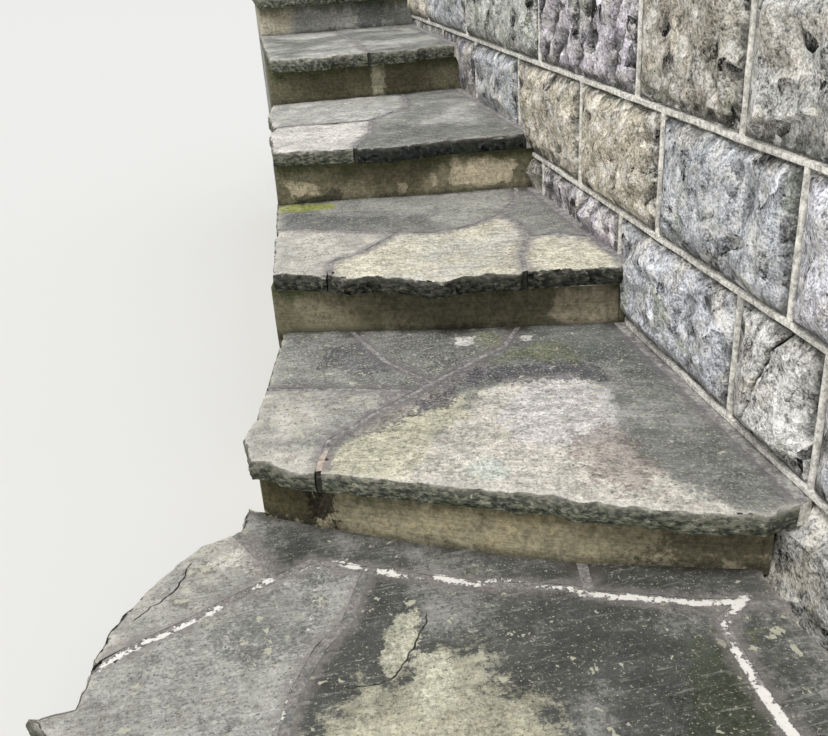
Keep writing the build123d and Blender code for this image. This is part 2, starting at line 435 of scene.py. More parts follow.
class Wire:
    """A socket in a finish, which takes part in plain arithmetic."""

    def __init__(self, finish, socket):
        self.finish = finish
        self.socket = socket

    def worked(self, operation, first, second):
        kind = "VectorMath" if self.socket.type == "VECTOR" else "Math"
        return self.finish.node(kind, {"operation": operation}, {0: first, 1: second})

    def __add__(self, other):
        return self.worked("ADD", self, other)

    def __sub__(self, other):
        return self.worked("SUBTRACT", self, other)

    def __rsub__(self, other):
        return self.worked("SUBTRACT", other, self)

    def __mul__(self, other):
        return self.worked("MULTIPLY", self, other)

    __radd__ = __add__

    def ease(self, start, end):
        """0 up to start, 1 past end, smooth between; start may be above end."""
        settings = {"interpolation_type": "SMOOTHSTEP"}
        return self.finish.node("MapRange", settings, {0: self, 1: start, 2: end})


class Finish:
    """One material in the making."""

    def __init__(self, name):
        self.material = bpy.data.materials.new(name)
        self.material.use_nodes = True
        self.tree = self.material.node_tree
        self.shader = self.tree.nodes["Principled BSDF"]
        self.place = self.node("TexCoord", output="Object")

    def node(self, kind, settings=None, inputs=None, output=0):
        """Add a node: its settings first, then its sockets' values or wires."""
        made = self.tree.nodes.new("ShaderNode" + kind)
        for name, value in (settings or {}).items():
            setattr(made, name, value)
        for key, value in (inputs or {}).items():
            self.feed(made.inputs[key], value)
        return Wire(self, made.outputs[output])

    def feed(self, socket, value):
        """Set a socket to a value or join a wire to it."""
        if isinstance(value, Wire):
            self.tree.links.new(value.socket, socket)
        elif socket.type == "VECTOR" and isinstance(value, (int, float)):
            socket.default_value = (value, value, value)
        else:
            socket.default_value = value

    def noise(self, scale, detail=4.0, roughness=0.55, where=None, warp=0.0):
        """Layered random values about 0.5, with scale lumps to the metre."""
        inputs = {"Vector": where or self.place, "Scale": scale, "Detail": detail,
                  "Roughness": roughness, "Distortion": warp}
        return self.node("TexNoise", None, inputs)

    def stretched(self, along, across, up, turn=0.0):
        """The place turned about the vertical by degrees, then scaled along its axes."""
        turned = self.node("VectorRotate", {"rotation_type": "Z_AXIS"},
                           {"Vector": self.place, "Angle": math.radians(turn)})
        return turned * (along, across, up)

    def mark(self, name, output="Fac"):
        """What is painted on the points of the piece under a name."""
        return self.node("Attribute", {"attribute_name": name}, output=output)

    def facing_up(self):
        """1 where the surface lies level, 0 where it is plumb."""
        return self.node("SeparateXYZ", None, {0: self.node("NewGeometry", output="Normal")}, "Z")

    def covered(self, field, cover, soft):
        """1 over about the share of the surface that is covered, with soft borders."""
        edge = 0.5 + (0.5 - cover) * 0.3
        return field.ease(edge - soft, edge + soft)

    def blend(self, first, second, share, kind="MIX"):
        """Mix of two colours."""
        made = self.tree.nodes.new("ShaderNodeMix")
        made.data_type = "RGBA"
        made.blend_type = kind
        self.feed(made.inputs[0], share)
        self.feed(made.inputs[6], first)
        self.feed(made.inputs[7], second)
        return Wire(self, made.outputs[2])

    def lay(self, colour, *layers):
        """Lay tones over a colour, each with its share."""
        for shade, share in layers:
            colour = self.blend(colour, tones[shade], share)
        return colour

    def chips(self, scale):
        """Heights of flat chips about 0, each tilted its own way, with scale of them to the metre."""
        where = self.place + self.wander(scale * 1.1, 0.4 / scale)
        centre, lean = (self.node("TexVoronoi", None, {"Vector": where, "Scale": scale}, output)
                        for output in ("Position", "Color"))
        corners = {0: where - centre, 1: lean - 0.5}
        return self.node("VectorMath", {"operation": "DOT_PRODUCT"}, corners, "Value") * scale

    def wander(self, scale, amount):
        """A small random shift of the place."""
        made = self.node("TexNoise", None, {"Vector": self.place, "Scale": scale, "Detail": 1.0}, "Color")
        return self.node("VectorMath", {"operation": "SUBTRACT"}, {0: made, 1: 0.5}) * amount

    def shade(self, colour, level):
        """The colour made lighter or darker by a level about 1."""
        return self.blend(colour, level, 1.0, "MULTIPLY")

    def patches(self, colour, looks, ragged):
        """Lay patches of colour over, each with a soft ragged border."""
        for number, (shade, soft, strength, _) in enumerate(looks):
            gap = self.mark(f"patch_{number}") + ragged * (1.8 * soft + 0.04)
            colour = self.lay(colour, (shade, gap.ease(soft * 0.2, -soft * 0.2) * strength))
        return colour

    def done(self, colour, roughness, height, depth):
        """Join colour, roughness and bump to the shader."""
        self.feed(self.shader.inputs["Base Color"], colour)
        self.feed(self.shader.inputs["Roughness"], roughness)
        self.shader.inputs["Specular IOR Level"].default_value = 0.25
        bump = self.node("Bump", None, {"Strength": 1.0, "Distance": depth, "Height": height})
        self.feed(self.shader.inputs["Normal"], bump)
        return self.material


# How each flag looks: its two bed colours and how much of the second, lichen, moss, streaks and
# their turn in degrees, the colour of its split sides, how light they are, pale flecks and patches.
# A patch has its colour, softness, strength and outline, out from the wall and along it
Look = namedtuple("Look", "fresh weathered cover lichen moss streak turn side nosing fleck patches",
                  defaults=(0.2, 0.1, 0.25, 0, "olive grey", 1.0, 0.3, ()))
flag_looks = {
    "landing_left_flag": Look("pale cream", "mid grey", 0.5, lichen=0.45, moss=0.2, patches=(
        ("dark grey", 0.08, 0.5, (
            (1240, 1290), (1000, 1200), (1120, 1120), (1200, 1110), (1260, 1170))),)),
    "landing_middle_flag": Look("pale cream", "mid grey", 0.6, lichen=0.4, patches=(
        ("dark grey", 0.15, 0.55, ((1180, 1060), (930, 1180), (960, 960), (1080, 940))),)),
    "landing_main_flag": Look("mid grey", "charcoal", 0.6, lichen=0.35, moss=0.35, patches=(
        ("yellow grey", 0.16, 0.6, (
            (900, 800), (700, 860), (600, 700), (640, 300), (1060, 300), (1000, 700))),
        ("lichen", 0.015, 0.85, ((799, 985), (747, 995), (765, 910), (828, 815), (852, 860))),
        ("lichen", 0.015, 0.85, ((787, 887), (718, 855), (722, 742), (783, 716), (802, 788))),
        ("dark moss", 0.1, 0.5, ((284, 780), (198, 757), (231, 540), (383, 578))))),
    "landing_right_flag": Look("mid grey", "charcoal", 0.55, lichen=0.5, moss=0.4),
    "landing_left_strip": Look("mid grey", "charcoal", 0.6, moss=0.35),
    "landing_right_strip": Look("mid grey", "charcoal", 0.65, moss=0.45),
    "tread_1_main_flag": Look(
        "mid grey", "dark grey", 0.6, lichen=0.3, turn=24, nosing=1.15, fleck=0.6, patches=(
        ("pale cream", 0.06, 0.9, (
            (790, 1130), (760, 1220), (649, 1313), (565, 1431), (483, 1512), (369, 1555), (250, 1533),
            (215, 1465), (235, 1309), (265, 1173), (220, 1001), (150, 880), (380, 900), (592, 1000))),
        ("yellow grey", 0.06, 0.7, (
            (920, 1225), (831, 1369), (735, 1475), (602, 1539), (482, 1534), (533, 1411), (649, 1313),
            (740, 1150))),
        ("lilac grey", 0.03, 0.7, (
            (433, 1441), (359, 1515), (249, 1500), (190, 1429), (200, 1306), (270, 1204), (369, 1185),
            (461, 1254), (478, 1354))),
        ("slate", 0.12, 0.45, (
            (700, 1600), (450, 1700), (300, 1640), (160, 1560), (40, 1350), (0, 1500), (0, 1900),
            (700, 1900))),
        ("rosy brown", 0.06, 0.55, ((378, 1229), (252, 1259), (227, 1057), (297, 995), (373, 1062))),
        ("purple mortar", 0.05, 0.7, (
            (866, 1357), (790, 1427), (644, 1536), (468, 1673), (394, 1648), (471, 1576), (618, 1470),
            (777, 1380))),
        ("mint", 0.02, 0.6, ((590, 1187), (522, 1195), (517, 1125), (586, 1118))),
        ("dark violet", 0.05, 0.75, (
            (651, 1501), (571, 1526), (469, 1626), (331, 1615), (173, 1574), (168, 1459), (248, 1507),
            (381, 1518), (470, 1547), (579, 1447), (674, 1429))),
        ("moss", 0.16, 0.3, ((386, 1745), (180, 1695), (206, 1609), (399, 1662))),
        ("white mortar", 0.006, 0.7, ((293, 1788), (269, 1779), (281, 1741), (305, 1749))),
        ("pink mortar", 0.01, 0.7, ((946, 1290), (888, 1236), (852, 1385))))),
    "tread_1_left_front_flag": Look("pale cream", "mid grey", 0.5, lichen=0.7, patches=(
        ("purple mortar", 0.05, 0.6, ((800, 1380), (640, 1480), (560, 1600), (700, 1600))),)),
    "tread_1_left_back_flag": Look("mid grey", "dark grey", 0.6, lichen=0.35, fleck=0.9, patches=(
        ("dark violet", 0.05, 0.6, (
            (821, 1895), (686, 1875), (619, 1774), (648, 1674), (763, 1700), (834, 1772))),)),
    "tread_1_back_flag": Look("mid grey", "dark grey", 0.6, lichen=0.4, fleck=1.0, patches=(
        ("moss", 0.12, 0.35, ((391, 1843), (129, 1752), (180, 1614), (429, 1698))),
        ("white mortar", 0.006, 0.8, ((468, 1840), (418, 1823), (432, 1771), (480, 1788))))),
    "tread_2_middle_flag": Look("warm cream", "pale grey", 0.4, streak=0.3, turn=15, nosing=0.38),
    "tread_2_left_flag": Look("pale cream", "mid grey", 0.5, nosing=0.38),
    "tread_2_back_flag": Look("mid grey", "dark grey", 0.45, moss=0.3, fleck=0.7, patches=(
        ("bright moss", 0.012, 0.85, (
            (886, 2733), (778, 2695), (689, 2656), (703, 2604), (802, 2600), (893, 2631))),
        ("dark violet", 0.06, 0.35, (
            (860, 2580), (629, 2541), (414, 2388), (471, 2299), (737, 2302), (889, 2365))))),
    "tread_2_right_front_flag": Look("warm cream", "pale grey", 0.4, nosing=0.38),
    "tread_2_right_back_flag": Look("mid grey", "dark grey", 0.4, fleck=0.7),
    "tread_3_left_front_flag": Look("warm white", "pale grey", 0.35),
    "tread_3_left_back_flag": Look("pale grey", "mid grey", 0.4, streak=0.4),
    "tread_3_right_flag": Look(
        "pale grey", "dark grey", 0.6, streak=0.5, turn=50, side="slate", nosing=0.36, fleck=0.5),
    "tread_4_left_flag": Look("pale grey", "dark grey", 0.5, streak=0.4, turn=60),
    "tread_4_right_flag": Look("pale grey", "dark grey", 0.55, streak=0.4, turn=60),
    "tread_5_left_flag": Look("pale grey", "mid grey", 0.5),
    "tread_5_right_flag": Look("pale grey", "mid grey", 0.5),
}

# Cracks in the landing's flags
flag_cracks = {
    "landing_main_flag": ((736, 966), (789, 879), (822, 833), (853, 818), (913, 825)),
    "landing_left_flag": ((1200, 1264), (1225, 1190), (1256, 1156), (1305, 1120)),
}

# The landing's white mortar: how much of it is left along each line
white_joints = (
    (1.0, ((136, 861), (175, 829), (200, 817), (209, 790), (217, 736), (224, 658), (226, 612),
           (224, 300))),
    (1.0, ((148, 848), (237, 875), (322, 911), (420, 950), (442, 977))),
    (0.75, ((442, 977), (528, 1013), (580, 1040), (629, 1041), (685, 1082), (743, 1097))),
    (0.95, ((743, 1097), (809, 1132), (854, 1162), (902, 1189))),
    (0.7, ((906, 1196), (1036, 1164), (1080, 1137), (1149, 1094), (1288, 1032), (1375, 983))),
    (0.55, ((931, 1176), (963, 1005), (1003, 873), (1044, 761))),
)

# The wedge of pink mortar on tread 1
pink_wedge = ((950, 1262), (880, 1215), (845, 1364))


def flagstone(name):
    """Weathered sandstone: two bed colours, patches, streaks, lichen, moss and dark split edges."""
    look = flag_looks[name]
    finish = Finish(name + "_stone")
    broad = finish.noise(3.2, 5.0, 0.6, warp=0.4)
    mottle = finish.noise(21.0, 7.0, 0.7)
    grain = finish.noise(46.0, 7.0, 0.75)
    speckle = finish.noise(118.0, 6.0, 0.75)
    fleck = finish.noise(165.0, 4.0, 0.65)
    spots = finish.noise(75.0, 5.0, 0.72)
    streaks = finish.noise(1.0, 6.0, 0.7, finish.stretched(13.0, 110.0, 20.0, look.turn), 0.4)
    clouds = finish.noise(15.0, 6.0, 0.7, warp=0.5)
    zone = finish.noise(4.0, 3.0, 0.5)
    growth = finish.noise(34.0, 4.0, 0.55, warp=0.3)
    cover = finish.covered(broad * 0.4 + grain * 0.3 + speckle * 0.3, look.cover, 0.05)
    ragged = finish.noise(9.0, 8.0, 0.72) + mottle * 0.8 + (speckle + grain) * 0.7 - 1.6
    colour = finish.lay(tones[look.fresh], (look.weathered, cover))
    colour = finish.lay(finish.patches(colour, look.patches, ragged),
                        ("charcoal", streaks.ease(0.5, 0.6) * look.streak),
                        ("pale grey", streaks.ease(0.44, 0.36) * look.streak))
    light = speckle.ease(0.4, 0.6) * 0.55 + grain.ease(0.4, 0.6) * 0.4 + clouds.ease(0.4, 0.6) * 0.32
    colour = finish.shade(colour, light + 0.43)
    spot = 0.66 - 0.08 * look.fleck
    point = 0.64 - 0.07 * look.fleck
    crust = 0.72 - 0.16 * look.lichen
    green = (mottle * 0.5 + zone * 0.5).ease(0.66 - 0.22 * look.moss, 0.74 - 0.22 * look.moss)
    border = (mottle + grain) * 0.07 - 0.07
    left = finish.mark("white") + (grain - 0.5) * 1.6 + (speckle - 0.5) * 1.2
    colour = finish.lay(
        colour,
        ("charcoal", fleck.ease(0.43, 0.36) * 0.7),
        ("charcoal", spots.ease(0.42, 0.35) * 0.5),
        ("pale cream", spots.ease(spot, spot + 0.04) * 0.6),
        ("lichen", fleck.ease(point, point + 0.03) * 0.75),
        ("lichen", (growth + zone * 0.25 - 0.125).ease(crust, crust + 0.02) * 0.85),
        ("moss", green * grain.ease(0.45, 0.58) * 0.65),
        ("joint grey" if tread_of(name) == 0 else "purple mortar",
         (finish.mark("joint_gap") + border).ease(0.028, 0.0) * 0.6),
        # soil and painted shade where the flag meets the riser behind
        ("soil", (finish.mark("back_gap") + border).ease(0.05, 0.0) * 0.75),
        ("white mortar", left.ease(0.6, 0.68)),
        ("near black", finish.mark("crack").ease(0.4, 1.0) * 0.9))
    chips = finish.chips(55.0)
    layered = finish.noise(1.0, 5.0, 0.65, finish.stretched(60.0, 60.0, 110.0))
    bark = finish.lay(
        tones["split green"],
        (look.side, layered.ease(0.44, 0.58)),
        ("dark moss", mottle.ease(0.45, 0.6) * 0.4),
        ("near black", layered.ease(0.47, 0.36) * 0.6),
        ("pale grey", (layered * 0.4 + speckle * 0.6).ease(0.55, 0.62) * 0.45))
    # The split sides are painted lighter on the raised side of each chip and darker on its low side, as
    # painted shade; look.nosing sets how light they are overall
    bark = finish.shade(bark, chips * 1.3 + look.nosing)
    lying = (finish.facing_up() + mottle * 0.4 - 0.2).ease(0.4, 0.85)
    # worn: pale cream along the top arris of the split sides, fading down them: painted highlight where
    # the rounded edge turns up to the light, and wear
    worn = finish.mark("arris") * mottle.ease(0.3, 0.6) * min(1.0, 0.1 + look.nosing * 0.8)
    colour = finish.lay(finish.blend(bark, colour, lying), ("pale cream", worn * 0.65))
    side_relief = (1.0 - lying) * (chips * 0.9 + layered * 1.2)
    height = mottle * 0.3 + grain * 0.4 + speckle * 0.3 + streaks * 0.3 + side_relief
    return finish.done(colour, 0.86 + fleck * 0.1, height, 0.010)


def tread_of(name):
    """Which tread a piece belongs to: the landing is 0."""
    return 0 if name.startswith("landing") else int(name.split("_")[1])


def mortar_of(name):
    """The mortar node of the tread, or of the landing, that a flag lies in."""
    level = tread_of(name)
    return "landing_mortar" if level == 0 else f"tread_{level}_mortar"


def bed_seed(name):
    """The flags and mortar of a tread share one seed, so that their beds meet."""
    return tread_of(name) * 97 + 5


def at_back(level, edge):
    """Which edge points of a tread meet the riser behind it."""
    if level == last_step:
        return edge[:, 1] > cad_high.y - touching
    behind = np.concatenate(rings_of(f"step_{level + 1}_fill"))
    return nearest(edge, behind)[0] < coat + 0.012


def edge_kinds(name, edge):
    """Whether each edge point of a flag meets a joint, the riser behind, or nothing."""
    mortar = np.concatenate(rings_of(mortar_of(name), outline_spacing))
    kinds = np.where(nearest(edge, mortar)[0] < touching, JOINT, FREE)
    kinds[at_back(tread_of(name), edge)] = BACK
    return kinds


def bed_relief(plan, seed):
    """Height of a split bed face: broad swells and thin flaked layers."""
    swell = rough(plan, 0.45, seed, 3) * 0.0028
    layers = rough(plan, 0.26, seed + 9, 4, 0.55) * 2.2
    flake = np.floor(layers) + ramp(layers - np.floor(layers), 0.22)
    return swell + flake * 0.0012 + rough(plan, 0.03, seed + 17, 2) * 0.0007


def split_relief(points, depth, seed):
    """How far a split edge stands back: bites out of the arris, hollows and thin layers."""
    plan = points[:, :2]
    bites = ramp(rough(plan, 0.06, seed + 3, 3) - 0.25, 0.5) * 0.008 * (1 - ramp(depth, 0.022))
    hollows = (rough(points, 0.045, seed + 5, 4, 0.65) + 0.6).clip(0, 2) * 0.0058
    layered = rough(points * (1, 1, 3), 0.02, seed + 7, 2) * 0.0024
    rounded = 0.0035 * (1 - ramp(depth, 0.009))
    return (bites + hollows + layered + rounded).clip(-0.001, 0.022)


side_depths = (0.0025, 0.006, 0.011, 0.017, 0.023, 0.029, 0.035, 0.041, 0.046)


@cache
def open_sides(level):
    """Plan points along the open sides of a tread's flags, and the way out at each one."""
    edge, way = [], []
    for name in flags:
        if tread_of(name) == level:
            rings = rings_of(name)
            ring = np.concatenate(rings)
            free = edge_kinds(name, ring) == FREE
            edge.append(ring[free])
            way.append(np.concatenate([outward(part) for part in rings])[free])
    edge, way = np.concatenate(edge), np.concatenate(way)
    gap = np.linalg.norm(edge[:, None] - edge[None], axis=2)
    way = np.exp(-(gap / even_reach) ** 2) @ way
    return edge, way / np.linalg.norm(way, axis=1)[:, None]


def slab(loops, rings, extra, free, level, heights, crown, base, seed, spare):
    """Points and faces of a slab: a worked top, a flat base, and sides split back where they are free.

    What lies near an open side of the tread follows it, so that neighbours keep together at their joints.
    """
    edge = np.concatenate(rings)
    away = np.concatenate([outward(ring) for ring in rings])
    plan = np.concatenate([edge, extra])
    line, way = open_sides(level)
    gap, closest = nearest(plan, line)
    follow = np.exp(-gap / even_reach)
    tight = np.where(free, 0, 0.0005)[:, None] * away
    stack = []
    for depth in (0, *side_depths, crown - base):
        back = split_relief(at_level(line, crown - depth), depth, seed)
        back = back + 0.004 * ramp(depth - 0.036, 0.014)
        shift = way[closest] * ((back[closest] + spare) * follow)[:, None]
        if depth == 0:
            stack.append(np.column_stack([plan - shift, heights]))
        else:
            stack.append(at_level(edge - shift[:len(edge)] - tight, crown - depth))
    faces = [plan_triangles(loops, rings, extra)]
    start = 0
    for ring in rings:
        index = np.arange(len(ring)) + start
        rows = np.stack([index] + [len(plan) + row * len(edge) + index for row in range(len(stack) - 1)])
        rows = np.concatenate([rows, rows[:, :1]], axis=1)
        corners = [rows[:-1, :-1], rows[1:, :-1], rows[1:, 1:], rows[:-1, 1:]]
        faces.append(np.stack(corners, axis=-1).reshape(-1, 4))
        start += len(ring)
    under = plan_triangles(loops, rings, np.zeros((0, 2)))
    faces.append(under[:, ::-1] + len(plan) + (len(stack) - 2) * len(edge))
    return np.concatenate(stack), faces


def crack_rows(name, edge):
    """Rows of plan points along a flag's crack: its bottom and two rows on each side."""
    line = crooked(on_plan(flag_cracks[name]), 0.012, 5, 0.004)
    side = outward(line, closed=False)
    offsets = (0, crack_half, -crack_half, 0.002, -0.002)
    rows = np.concatenate([line + side * offset for offset in offsets])
    return line, rows[nearest(rows, edge)[0] > 0.005]


def flag_points(name, loops, edge, seed):
    """Plan points inside a flag, close along its crack, and how deep in the crack each one is."""
    extra = inside_points(loops, edge, bed_spacing, seed)
    if name not in flag_cracks:
        return extra, np.zeros(len(extra) + len(edge))
    line, rows = crack_rows(name, edge)
    extra = np.concatenate([extra[nearest(extra, line)[0] > 0.006], rows])
    gap = nearest(np.concatenate([edge, extra]), spaced(line, 0.0008, closed=False))[0]
    return extra, np.exp(-(gap / crack_half) ** 2)


def patch_marks(name, plan):
    """How far each plan point lies outside each patch of its flag; less than 0 is inside."""
    marks = {}
    for number, (_, _, _, outline) in enumerate(flag_looks[name].patches):
        marks[f"patch_{number}"] = outside(spaced(on_plan(outline), patch_spacing), plan)
    return marks


def white_left(plan):
    """How much white mortar is left at each plan point of the landing, 0 to 1."""
    left = np.zeros(len(plan))
    for share, line in white_joints:
        gap = nearest(plan, spaced(on_plan(line), 0.01, closed=False))[0]
        left = np.maximum(left, share * (1 - gap / 0.022))
    return left.clip(0, 1)


def flag_piece(name, seed):
    """A split flag: worked bed on top, rough split edges where they are free."""
    low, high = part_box(name)
    loops, rings = top_loops(name), rings_of(name)
    edge = np.concatenate(rings)
    kinds = edge_kinds(name, edge)
    extra, crack = flag_points(name, loops, edge, seed)
    plan = np.concatenate([edge, extra])
    gaps = {kind: nearest(plan, edge[kinds == kind])[0] for kind in (FREE, JOINT, BACK)}

    own = bed_relief(plan, seed) * ramp(gaps[JOINT], 0.06)
    heights = high.z + bed_relief(plan, bed_seed(name)) + own * 0.7 - 0.003 * np.exp(-gaps[FREE] / 0.01) \
        - 0.0005 * np.exp(-gaps[JOINT] / 0.005) - 0.004 * crack
    points, faces = slab(loops, rings, extra, kinds == FREE, tread_of(name), heights, high.z, low.z,
                         bed_seed(name), 0)
    marks = {"joint_gap": gaps[JOINT], "back_gap": gaps[BACK], "crack": crack,
             "white": white_left(plan) * (tread_of(name) == 0),
             "arris": np.exp(-gaps[FREE] / 0.012), **patch_marks(name, plan)}
    for mark, values in marks.items():
        fade = [math.exp(-depth / 0.009) if mark == "arris" else 1.0 for depth in (*side_depths, 1)]
        marks[mark] = np.concatenate([values] + [values[:len(edge)] * share for share in fade])
    shell = Shell(name + "_stone")
    shell.add(points, faces, **marks)
    slot = "landing_flagstone" if tread_of(name) == 0 else "flagstone"
    return shell.piece([name], flagstone(name))


def mortar_finish(name, main, second, side="joint end shade", depth=0.004):
    """Gritty mortar of two colours with grime in its pits, white where it is painted so, and its upright
    faces in the side tone.
    """
    finish = Finish(name + "_mortar")
    broad = finish.noise(14.0, 3.0, 0.5)
    mottle = finish.noise(46.0, 7.0, 0.75)
    grit = finish.noise(118.0, 6.0, 0.75)
    colour = finish.lay(tones[main], (second, mottle.ease(0.4, 0.6)),
                        ("pink mortar", finish.mark("pink")))
    colour = finish.shade(colour, grit.ease(0.36, 0.64) * 0.7 + 0.65)
    left = finish.mark("white") + (broad - 0.5) * 1.5 + (mottle - 0.5) * 1.6 + (grit - 0.5) * 1.2
    left = left.ease(0.54, 0.62)
    colour = finish.lay(colour, ("white mortar", left))
    # Upright faces take the side tone: at the joints a dark painted shade, so that their set-back ends
    # read as gaps; on the ribbon its own colour
    end = finish.lay(tones[side], ("ribbon", finish.mark("lump") * 0.75))
    end = finish.shade(end, mottle.ease(0.4, 0.6) * 0.6 + grit.ease(0.4, 0.6) * 0.4 + 0.5)
    colour = finish.blend(end, colour, finish.facing_up().ease(0.2, 0.7))
    return finish.done(colour, 0.9 + grit * 0.08, mottle * 0.4 + grit * 0.4 + left * 0.3, depth)


def at_wall(points):
    """Rises from 0 to 1 where a tread meets the wall."""
    return ramp(points[:, 0] - wall_face + lump_reach, 0.03)


def joint_piece(node, seed, finish):
    """The mortar in the joints of a tread or of the landing, set back where it shows at an edge."""
    low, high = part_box(node)
    loops, rings = top_loops(node), rings_of(node)
    edge = np.concatenate(rings)
    extra = inside_points(loops, edge, joint_spacing, seed)
    plan = np.concatenate([edge, extra])
    level = tread_of(node)
    beside = np.concatenate([ring for name in flags if tread_of(name) == level
                             for ring in rings_of(name, outline_spacing)])
    free = nearest(edge, beside)[0] > outline_spacing
    free &= (edge[:, 0] < high.x - touching) & ~at_back(level, edge)
    crown = high.z + joint_recess
    heights = crown + bed_relief(plan, bed_seed(node)) + rough(plan, 0.03, seed, 4) * 0.0012 - 0.0012
    wall_share = at_wall(plan)
    spare = 0.008 * (1 - wall_share) + (0.003 + 0.003 * rough(plan, 0.03, seed, 3)) * wall_share
    points, faces = slab(loops, rings, extra, free, level, heights, crown - bedded, low.z, bed_seed(node),
                         spare)
    shell = Shell(node.replace("_mortar", "_pointing"))
    shell.add(points, faces, white=white_left(points[:, :2]) * (level == 0),
              pink=within(on_plan(pink_wedge), points[:, :2]) * float(level == 1),
              lump=at_wall(points) * (level > 0))
    return shell.piece([node], finish)


# The coat of each riser: its cement, its algae and how much of it, then its patches, with
# outlines out from the wall and up
coat_looks = {
    1: ("ochre", "grey ochre", 0.75),
    2: ("grey ochre", "dark olive", 1.0),
    3: ("grey ochre", "dark olive", 0.65),
    4: ("grey ochre", "dark olive", 0.9),
    5: ("mid grey", "dark grey", 0.5),
}
coat_patches = {
    1: (
        ("mossy brown", 0.06, 0.95, ((1300, 400), (925, 400), (890, 180), (1300, 180))),
        ("dark olive", 0.16, 0.75, ((250, 400), (-20, 400), (-20, 180), (250, 180))),
        ("soil", 0.012, 0.8, ((912, 345), (872, 345), (880, 230), (920, 190), (935, 260)))),
    2: (
        ("tan", 0.03, 0.6, (
            (176, 520), (150, 505), (60, 512), (24, 486), (8, 440), (28, 392), (70, 362), (150, 360),
            (196, 404))),
        ("grey ochre", 0.1, 0.5, ((880, 520), (700, 520), (690, 380), (880, 380)))),
    3: (
        ("tan", 0.014, 0.85, (
            (285, 690), (190, 682), (95, 676), (60, 640), (92, 585), (180, 580), (290, 598))),
        ("tan", 0.01, 0.7, ((470, 612), (430, 622), (420, 585), (462, 574))),
        ("tan", 0.008, 0.7, ((356, 640), (338, 640), (334, 592), (350, 590))),
        ("tan", 0.014, 0.6, ((839, 640), (760, 630), (725, 590), (830, 578))),
        ("near black", 0.008, 0.6, (
            (824, 596), (741, 586), (670, 610), (648, 593), (668, 566), (744, 558), (833, 564)))),
    4: (("yellow grey", 0.02, 0.6, ((388, 890), (334, 890), (342, 756), (398, 756))),),
    5: (
        ("ochre", 0.06, 0.4, ((820, 1090), (640, 1090), (640, 930), (820, 930))),
        ("slate", 0.05, 0.6, ((300, 1090), (160, 1090), (160, 930), (300, 930)))),
}


def patch_gap(points, outline, step):
    """How far points on a riser lie outside a patch of its coat."""
    upright = np.column_stack([wall_face - points[:, 0], points[:, 2]])
    loop = spaced(np.array(outline) / 1000, 0.01)
    gap = nearest(upright, loop)[0] + lumps(upright, 0.03, step) * 0.004
    front = points[:, 1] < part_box(f"riser_{step}_coat")[0].y + 0.75
    return np.where(front & within(loop, upright), -gap, np.where(front, gap, far_away))


def coat_relief(step, points):
    """Waves and pits of a hand-laid cement coat, and the hole where its corner has crumbled."""
    waves = (rough(points, 0.16, step * 31, 3) + 0.7).clip(0, 2) * 0.0022
    pits = ramp(rough(points, 0.02, step * 31 + 4, 2) - 0.45, 0.4) * 0.0015
    hole = 0
    for shade, _, _, outline in coat_patches[step]:
        if shade == "soil":
            inner = ramp(-patch_gap(points, outline, step), 0.01)
            hole = inner * (0.011 + 0.004 * rough(points, 0.025, 77, 3))
    return waves + pits + hole


def coat_marks(step, points, foot, top):
    """Values painted on a coat: its patches, and the distances to its head and foot."""
    found = {f"patch_{number}": patch_gap(points, patch[3], step)
             for number, patch in enumerate(coat_patches[step])}
    return {**found, "below_nosing": points[:, 2] - top, "above_foot": points[:, 2] - foot}


def coat_panel(shell, step, path, away, bottom, foot, row):
    """A closed upright panel of cement along a plan path, its outer face worked back."""
    top = top_of(f"riser_{step}_coat")
    levels = np.linspace(bottom, top, max(2, math.ceil((top - bottom) / row) + 1))
    count, columns = len(levels), len(path)
    flat = np.column_stack([np.repeat(path, count, axis=0), np.tile(levels, columns)])
    outer = flat.copy()
    outer[:, :2] -= np.repeat(away, count, axis=0) * coat_relief(step, flat)[:, None]
    inner = path - away * (coat * 0.9)
    back = np.stack([at_level(inner, level) for level in (top, bottom)], axis=1)
    worked, plain = (np.concatenate([face.reshape(columns, count, 3), back], axis=1).reshape(-1, 3)
                     for face in (outer, flat))
    shell.add(worked, tube_faces(columns, count + 2), **coat_marks(step, plain, foot, top))


def coat_finish(step):
    """Brushed ochre cement under dark algae, with painted shade and grime at its foot, and painted shade
    and algae under the nosing.
    """
    fresh, algae, cover = coat_looks[step]
    finish = Finish(f"riser_{step}_render")
    broad = finish.noise(5.0, 6.0, 0.65, warp=0.5)
    mottle = finish.noise(30.0, 7.0, 0.7)
    speckle = finish.noise(90.0, 6.0, 0.75)
    brushed = finish.noise(1.0, 5.0, 0.65, finish.stretched(14.0, 14.0, 230.0))
    drips = finish.noise(1.0, 4.0, 0.6, finish.stretched(28.0, 28.0, 2.0))
    pits = finish.noise(70.0, 4.0, 0.6).ease(0.68, 0.76)
    colour = finish.lay(tones[fresh], (algae, finish.covered(broad * 0.6 + mottle * 0.4, cover, 0.08)))
    colour = finish.patches(colour, coat_patches[step], mottle * 1.4 + speckle * 0.8 - 1.1)
    # head: a dark band with drips under the nosing, painted shade and algae; it is laid on where head is
    # low
    head = (finish.mark("below_nosing") - drips * 0.13 + mottle * 0.04 + 0.05).ease(-0.01, -0.05)
    # foot: near black where the coat meets the tread below, painted shade and grime
    foot = (finish.mark("above_foot") + (mottle - 0.5) * 0.06).ease(0.03, 0.0)
    colour = finish.lay(colour, ("dark moss", (1.0 - head) * 0.6), ("near black", foot * 0.6))
    colour = finish.shade(colour, brushed.ease(0.3, 0.7) * 0.3 + speckle.ease(0.38, 0.62) * 0.55
                          + mottle.ease(0.4, 0.6) * 0.25 + 0.45)
    colour = finish.lay(colour, ("near black", pits * 0.6))
    height = brushed * 0.3 + speckle * 0.25 + mottle * 0.5 - pits * 0.4
    return finish.done(colour, 0.88 + speckle * 0.08, height, 0.005)


